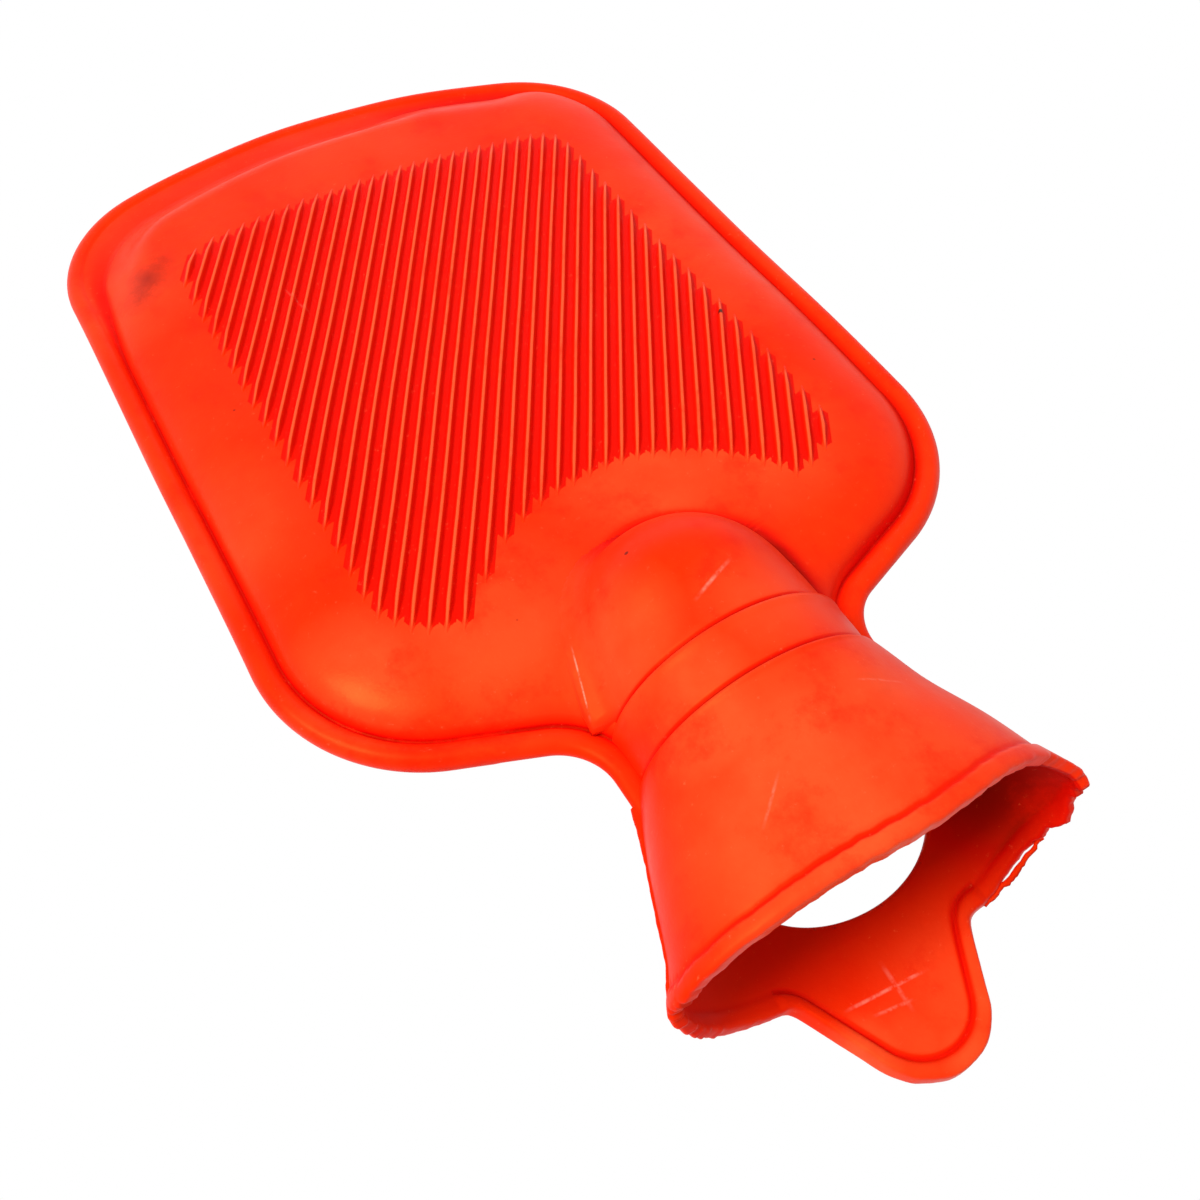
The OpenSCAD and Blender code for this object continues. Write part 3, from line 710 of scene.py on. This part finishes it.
def outer_sheet():
    """Dome, collar, steps, funnel and lip from outside: rows of points and their painted shade values."""
    rows, deep = [], []

    def ring(y, r, d=0.0):
        level = np.maximum(np.floor((r - DOME_R) / STEP_H + 0.35) * STEP_H + DOME_R, DOME_R)
        # Underneath, the steps don't overshoot, as the neck rests on the floor there
        r = np.where(CZ < -0.8, np.minimum(r, level), r)
        rows.append(np.column_stack([r * CX, np.full(COLS, y), r * CZ]))
        deep.append(np.full(COLS, d))

    def funnel(y, grow, d):
        x, z = oval((STEP2_Y - y) / FUNNEL_L, grow)
        rows.append(np.column_stack([x, y, z]))
        deep.append(d)

    for b in np.radians(np.linspace(76, 0, DOME_ROWS)):
        ring(DOME_Y + DOME_R * math.sin(b), DOME_R * math.cos(b))
    for y in np.linspace(DOME_Y - 1.2, STEP1_Y + 1.7, COLLAR_ROWS):
        ring(y, DOME_R)
    for dy, h, d in STEP:
        ring(STEP1_Y + dy, DOME_R + STEP_H * h, d)
    for y in np.linspace(STEP1_Y - 3.2, STEP2_Y + 1.9, 7):
        ring(y, DOME_R + STEP_H)
    for dy, h, d in STEP[:-3]:
        ring(STEP2_Y + dy, DOME_R + STEP_H * (1 + h), d)
    # Rows by share of the way to each column's own end, then the band by distance from the edge
    for f in np.linspace(0.035, 1.0, 34):
        funnel(STEP2_Y + (END + BAND_START - STEP2_Y) * f, 0.0, np.zeros(COLS))
    band = smooth(-0.25, 0.12, CZ)
    for e, h, d in LIP:
        fall = 0.0 if e > LIP_ROUND else 1 - math.sqrt(max(0.0, 1 - ((LIP_ROUND - e) / LIP_ROUND) ** 2))
        funnel(END + e, h * band - fall * 0.8 * (1 - band), d * band)
    return np.array(rows), np.array(deep)


def inner_sheet(back):
    """Inside of the funnel, from the edge back to the deck round the bush."""
    rows, deep = [], []
    inner = list(np.concatenate([[0.0, 0.08, 0.3, 0.7, 1.2], np.arange(1.7, 31, 0.45)]))
    for e in inner:
        y = END + e
        u = (STEP2_Y - y) / FUNNEL_L
        fillet = 0.8 * (1 - math.sqrt(max(0.0, 1 - max(0.0, (0.8 - e) / 0.8) ** 2)))
        wall_x = oval(u, -WALL)[0]
        away = edge_distance(wall_x, y)
        # The raised border along the back lip and the tab, and the groove inside it
        lift = BORDER_H * np.sqrt(np.clip(1 - ((away - 1.5) / 1.75) ** 2, 0, 1)) * (away < 3.25)
        lift = np.where(away < 1.5, BORDER_H, lift)
        groove = 0.35 * np.exp(-((away - 3.75) / 0.42) ** 2)
        x, z = oval(u, 0.0)
        strength = back * (0.30 + 0.70 * (np.abs(wall_x) < BORDER_X))
        front = 0.7 * FRONT_LIP * np.exp(-(e / 4.0) ** 2)
        grow = -WALL + fillet - (lift - groove) * strength - front
        nx, nz = oval(u, 1.0)
        rows.append(np.column_stack([x + (nx - x) * grow, y, z + (nz - z) * grow]))
        # Painted shade in the groove inside the border
        deep.append(np.clip(np.exp(-((away - 3.8) / 0.62) ** 2) * strength, 0, 1))
    last = END + inner[-1]
    for f in np.linspace(0.06, 1.0, 16):
        y = last + (DECK_Y - last) * f
        x, z = oval((STEP2_Y - y) / FUNNEL_L, -WALL)
        rows.append(np.column_stack([x, y, z]))
        deep.append(np.zeros(COLS))
    inside, inside_deep = np.array(rows), np.array(deep)
    # Painted shade, darker further in, most of all at the right
    depth = smooth(BACK_Y - 12, BACK_Y + 23, inside[..., 1])
    right = smooth(14, 34, inside[..., 0]) + 0.5 * smooth(0, 15, inside[..., 2])
    dark = depth * (0.75 + 0.95 * np.minimum(right, 1)) + 0.35 * right * (depth > 0)
    return inside, np.clip(inside_deep + dark, 0, 2)


def neck_sheets():
    """Dome, neck, funnel, tab and the deck round the bush."""
    s = Sheets()
    outer, outer_deep = outer_sheet()
    flare_out(outer, outer_deep)
    back = smooth(0.1, -0.3, CZ)
    inside, inside_deep = inner_sheet(back)
    # Cap between the outer and the inner surface at the edge
    cap = np.array([outer[-1] * (1 - f) + inside[0] * f for f in (0, 0.33, 0.67, 1)])
    hole_outer, hole_inner = cut_hole(outer, 0.0), cut_hole(inside, -WALL)
    s.grid(outer, outer_deep, wrap=True, keep=hole_outer)
    # Painted shade on the cap's back part beside the mouth's corners
    s.grid(cap, 0.55 * back * (np.abs(cap[0][:, 0]) > 22), wrap=True)
    s.grid(inside, inside_deep, wrap=True, keep=hole_inner)
    x, z = inside[-1][:, 0], inside[-1][:, 2]
    bush_x, bush_z = BUSH_HOLE_R * CX, BUSH_HOLE_R * CZ
    deck = np.full(COLS, DECK_Y)
    rows = [inside[-1]]
    for f in np.linspace(0.12, 1, 10):
        rows.append(np.column_stack([x * (1 - f) + bush_x * f, deck, z * (1 - f) + bush_z * f]))
    rows.append(np.column_stack([bush_x, deck + 20.0, bush_z]))
    # Painted shade on the deck round the bush, far inside
    s.grid(np.array(rows), 0.9, wrap=True)
    hole_wall(s)
    return s


def flank_height(x, y):
    """Height of the body's upper side over a point of the plan, by its distance in from the rim."""
    best = np.full(x.shape, 1e9)
    for px, py in RIM_P[::2]:
        best = np.minimum(best, (x - px) ** 2 + (y - py) ** 2)
    d = np.sqrt(best)
    return np.interp(d, section[:, 0], section[:, 1])


def flare_out(outer, deep):
    """Swell the dome and the collar out softly where they meet the body, and paint shade into the crease."""
    n = DOME_ROWS + COLLAR_ROWS
    p = outer[:n]
    z = np.abs(p[..., 2])
    base = flank_height(p[..., 0], p[..., 1])
    # Wider at the left of the face, crisp on the far side
    k = np.where(p[..., 2] > 0, 0.55 + 3.4 * smooth(4, -18, p[..., 0]), 1.5)
    # Painted shade along the crease where the dome meets the body
    crease = 1.5 * smooth(-14, 0, p[..., 0]) * (1 - smooth(0.1, 3.2, z - base))
    crease = crease * (z > base - 3)
    deep[:n] = np.maximum(deep[:n], crease)
    d = np.clip((z - base) / k, 0, 1)
    push = k * (1 - np.sqrt(np.clip(1 - (1 - d) ** 2, 0, 1))) * (z > base - 3)
    centre = np.stack([np.zeros_like(z), np.minimum(p[..., 1], DOME_Y), np.zeros_like(z)], axis=-1)
    rel = p - centre
    rel[..., 2] = 0
    length = np.maximum(np.linalg.norm(rel, axis=-1, keepdims=True), 1e-6)
    p += rel / length * push[..., None]


def hole_e(x, y, grow):
    """Less than 1 inside the hole, seen from above."""
    return np.hypot((x - HOLE_X) / (HOLE_W / 2 + grow), (y - HOLE_Y) / (HOLE_L / 2 + grow))


def cut_hole(p, grow):
    """Faces to keep, after the grid's points just inside the hole are moved onto its edge.

    The grid lies at grow from the funnel's outer face.
    """
    x, y, z = p[..., 0], p[..., 1], p[..., 2]
    e = hole_e(x, y, HOLE_ROUND)
    inside = (e < 1) & (z < 0) & (np.abs(x) < 30)
    right = np.roll(inside, -1, axis=1)
    cells = inside[:-1] & right[:-1] & inside[1:] & right[1:]
    push = inside & (e > 1e-6)
    sx = np.where(push, HOLE_X + (x - HOLE_X) / np.maximum(e, 1e-6), x)
    sy = np.where(push, HOLE_Y + (y - HOLE_Y) / np.maximum(e, 1e-6), y)
    new_z = np.where(push, back_z(sx, sy, grow), z)
    p[..., 0], p[..., 1], p[..., 2] = sx, sy, new_z
    return ~cells


def back_z(x, y, grow):
    """Height of the funnel's back wall over a point of the plan."""
    ox, oz, m = semi((STEP2_Y - y) / FUNNEL_L, grow)
    return -oz * np.clip(1 - (np.abs(x) / ox) ** m, 0, 1) ** (1 / m)


def hole_wall(s):
    """Wall of the hole with rounded edges: (share of the wall's depth, share of the rounding)."""
    a = np.linspace(0, 2 * np.pi, 200, endpoint=False)
    rows = []
    edge = [(0, 1.0), (0.02, 0.62), (0.08, 0.32), (0.18, 0.1), (0.33, 0)]
    for f, out in edge + [(0.5, 0)] + [(1 - f, out) for f, out in edge[::-1]]:
        g = HOLE_ROUND * out
        x = HOLE_X + (HOLE_W / 2 + g) * np.cos(a)
        y = HOLE_Y + (HOLE_L / 2 + g) * np.sin(a)
        z = back_z(x, y, 0.0) * (1 - f) + back_z(x, y, -WALL) * f
        rows.append(np.column_stack([x, y, z]))
    # Painted shade on the hole's wall
    s.grid(np.array(rows), 0.35, wrap=True)


def neck_set(p):
    """How the soft neck and funnel have set: the neck flattened, the mouth turned, its corners spread."""
    x, y, z = p[:, 0].copy(), p[:, 1], p[:, 2].copy()
    outer = smooth(17.5, 20.5, np.hypot(x, z))
    flat = smooth(-46, -62, y) * (1 - smooth(-82, -112, y)) * outer
    x *= 1 + 0.065 * flat
    z = np.where(z > 0, z * (1 - 0.085 * flat), z)
    mouth = smooth(-80, -116, y)
    z -= 0.05 * p[:, 0] * mouth * smooth(-17, -4, z) * outer
    spread = smooth(-108, -117, y) * np.exp(-((p[:, 2]) / 8) ** 2)
    x -= 1.8 * np.exp(-((y + 90) / 9) ** 2) * smooth(10, 22, x) * outer
    x += (2.4 * smooth(26, 40, x) - 1.2 * smooth(-30, -40, x)) * spread
    return np.column_stack([x, y, z])


body = body_sheets().build("bottle_body", RUBBER)
ribs = rib_sheets().build("bottle_ribs", RUBBER)
neck_parts = neck_sheets()
neck_parts.points = [neck_set(p) for p in neck_parts.points]
neck = neck_parts.build("bottle_neck", RUBBER)


def side_x(y):
    """Half width of the neck and the funnel at the parting line."""
    u = (STEP2_Y - y) / FUNNEL_L
    return np.where(y > STEP1_Y, DOME_R, np.where(y > STEP2_Y, DOME_R + STEP_H, semi(u, 0.0)[0]))


def flash_sheets():
    """What the mould left along its parting line: a fin down each side, and a torn strip on the back lip."""
    s = Sheets()
    for side in (1, -1):
        y = np.arange(RIM_END_Y + 6, MOUTH_Y + 1.0, -0.5)
        web = smooth(STEP2_Y - 14, STEP2_Y + 2, y)
        high = 0.45 + 1.7 * web + 0.22 * rough(y + 90 * side, 21, 2.4)
        thick = 0.28 + 0.45 * web
        x = side_x(y)
        across = [(-0.6, 1.5), (0.25, 1.0), (0.8, 0.75), (1.0, 0.0)]
        across += [(h, -t) for h, t in across[-2::-1]]
        rows = [np.column_stack([side * (x + high * h), y, thick * t]) for h, t in across]
        s.grid(np.transpose(np.array(rows), (1, 0, 2)), 0.15, flip=side < 0)
    x, z = oval(np.array(1.0), -0.8)
    col = np.where((x > 21.5) & (x < 36.5) & (z < 0))[0]
    x, y, z = x[col], END[col], z[col]
    t = np.linspace(0, 1, len(col))
    gap = 0.62 * smooth(0.25, 0.4, t) * (1 - smooth(0.8, 0.95, t)) - 0.3
    bow = np.sqrt(np.clip(np.sin(np.pi * (0.05 + 0.9 * t)), 0, 1))
    wide = (0.95 + 0.35 * rough(t * 20, 31, 0.9)) * bow + 0.25
    rows = []
    for f, up in [(0, 0), (0.15, 0.32), (0.6, 0.3), (1, 0.05), (0.6, -0.2), (0.15, -0.25), (0, 0)]:
        rows.append(np.column_stack([x, y - gap - wide * f, z + up]))
    s.grid(np.array(rows), 0.1)
    return s


def thread_sheets():
    """Thread on the stopper's shank, cut to clear the bush."""
    s = Sheets()
    start, turns, pitch, root, crest = DECK_Y - 0.5, 5.6, 3.0, 12.84, 13.12
    a = np.linspace(0, 2 * np.pi * turns, int(turns * 72))
    fade = np.minimum(1, np.minimum(a, a[-1] - a) / 1.2)
    rows = []
    for dy, high in [(-1.0, 0.0), (-0.62, 0.75), (-0.4, 1.0), (0.4, 1.0), (0.62, 0.75), (1.0, 0.0)]:
        r = root + (crest - root) * high * fade
        y = start + pitch * a / (2 * np.pi) + dy * (0.3 + 0.7 * fade)
        rows.append(np.column_stack([r * np.cos(a), y, r * np.sin(a)]))
    s.grid(np.array(rows), 0.0)
    return s


flash_parts = flash_sheets()
flash_parts.points = [neck_set(p) for p in flash_parts.points]
flash = flash_parts.build("bottle_flash", RUBBER)
thread = thread_sheets().build("stopper_thread", STOPPER, warp=False)
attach(thread, "stopper")
for piece in (body, ribs, neck, flash):
    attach(piece, "bottle")
    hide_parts("bottle")

# Camera, matched to the photograph ------------------------------------------------------------------
camera = bpy.data.objects.new("camera", bpy.data.cameras.new("camera"))
bpy.context.scene.collection.objects.link(camera)
camera.data.lens = 36.227
camera.data.clip_start = 0.01
eye = Vector((-0.081967, -0.161584, 0.194268))
forward = Vector((0.293638, 0.509504, -0.808816)).normalized()
right = Vector((0.865098, -0.501599, -0.001906)).normalized()
up = right.cross(forward).normalized()
turn = Matrix((right, up, -forward)).transposed().to_4x4()
camera.matrix_world = LAY @ Matrix.Translation(eye) @ turn
bpy.context.scene.camera = camera

# Floor, world and lights ----------------------------------------------------------------------------


def seen_rays(tree):
    """1 for rays from the camera, a gloss or a clear body, which see the plain white background."""
    path = tree.nodes.new("ShaderNodeLightPath")
    total = path.outputs["Is Camera Ray"]
    for name in ("Is Glossy Ray", "Is Transmission Ray"):
        node = tree.nodes.new("ShaderNodeMath")
        node.operation = "MAXIMUM"
        tree.links.new(total, node.inputs[0])
        tree.links.new(path.outputs[name], node.inputs[1])
        total = node.outputs[0]
    return total


floor = Nodes("floor_white")
floor.put(floor.bsdf.inputs["Base Color"], (0.82, 0.82, 0.82, 1))
floor.put(floor.bsdf.inputs["Roughness"], 0.9)
white = floor.add("ShaderNodeEmission", {"Color": (1, 1, 1, 1), "Strength": 1.0})
mixer = floor.add("ShaderNodeMixShader")
floor.put(mixer.inputs[0], seen_rays(floor.tree))
floor.tree.links.new(floor.bsdf.outputs[0], mixer.inputs[1])
floor.tree.links.new(white.outputs[0], mixer.inputs[2])
floor.tree.links.new(mixer.outputs[0], floor.tree.nodes["Material Output"].inputs[0])
bpy.ops.mesh.primitive_plane_add(size=8)
ground = bpy.context.object
ground.name = "floor"
ground.data.materials.append(floor.material)

world = bpy.data.worlds.new("studio")
bpy.context.scene.world = world
world.use_nodes = True
sky = world.node_tree
fill = sky.nodes["Background"]
fill.inputs[0].default_value = (1, 1, 1, 1)
fill.inputs[1].default_value = 0.42
backdrop = sky.nodes.new("ShaderNodeBackground")
backdrop.inputs[0].default_value = (1, 1, 1, 1)
backdrop.inputs[1].default_value = 1.0
choice = sky.nodes.new("ShaderNodeMixShader")
sky.links.new(seen_rays(sky), choice.inputs[0])
sky.links.new(fill.outputs[0], choice.inputs[1])
sky.links.new(backdrop.outputs[0], choice.inputs[2])
sky.links.new(choice.outputs[0], sky.nodes["World Output"].inputs[0])


def area(name, place, size, power):
    """A soft square light that faces the middle of the floor."""
    data = bpy.data.lights.new(name, "AREA")
    data.shape = "RECTANGLE"
    data.size = data.size_y = size
    data.energy = power
    obj = bpy.data.objects.new(name, data)
    bpy.context.scene.collection.objects.link(obj)
    obj.location = place
    obj.rotation_euler = (-Vector(place)).to_track_quat("-Z", "Y").to_euler()


area("key", (-0.60, 0.06, 0.92), 0.42, 10)
area("top", (0.25, 0.25, 1.2), 0.9, 3)

bpy.context.scene.view_settings.view_transform = "Standard"
